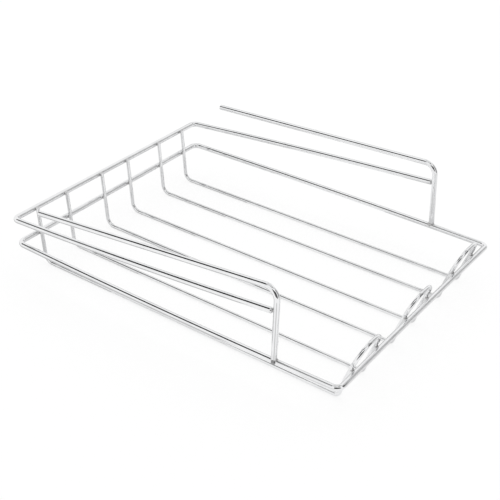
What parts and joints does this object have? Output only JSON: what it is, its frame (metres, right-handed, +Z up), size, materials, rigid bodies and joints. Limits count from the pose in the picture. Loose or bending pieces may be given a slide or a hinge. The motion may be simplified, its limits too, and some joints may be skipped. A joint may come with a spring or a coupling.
{
  "type": "under-shelf can rack",
  "caption": "Chrome wire rack that hangs from a fridge shelf by two side arms, with wire lanes that cradle cans or bottles behind raised front stops.",
  "frame": {"origin": "middle of the rack seen from above, on the plane of the flats under the lane wires, which it stands on", "axes": "+X to the rack's right as seen by someone who faces its front, +Y from the humped front to the back, +Z up"},
  "size_m": [0.2594, 0.3425, 0.0958],
  "materials": {
    "frame_wire": "bright chrome plate on drawn steel wire",
    "arm_wire": "bright chrome plate on drawn steel wire",
    "lane_wire": "bright chrome plate on drawn steel wire"
  },
  "bodies": {
    "root": {"base_frame": "frame_wire", "top_rail": "frame_wire", "left_arm": "arm_wire", "right_arm": "arm_wire", "left_lane_wire": "lane_wire", "middle_lane_wire": "lane_wire", "right_lane_wire": "lane_wire"}
  },
  "joints": []
}
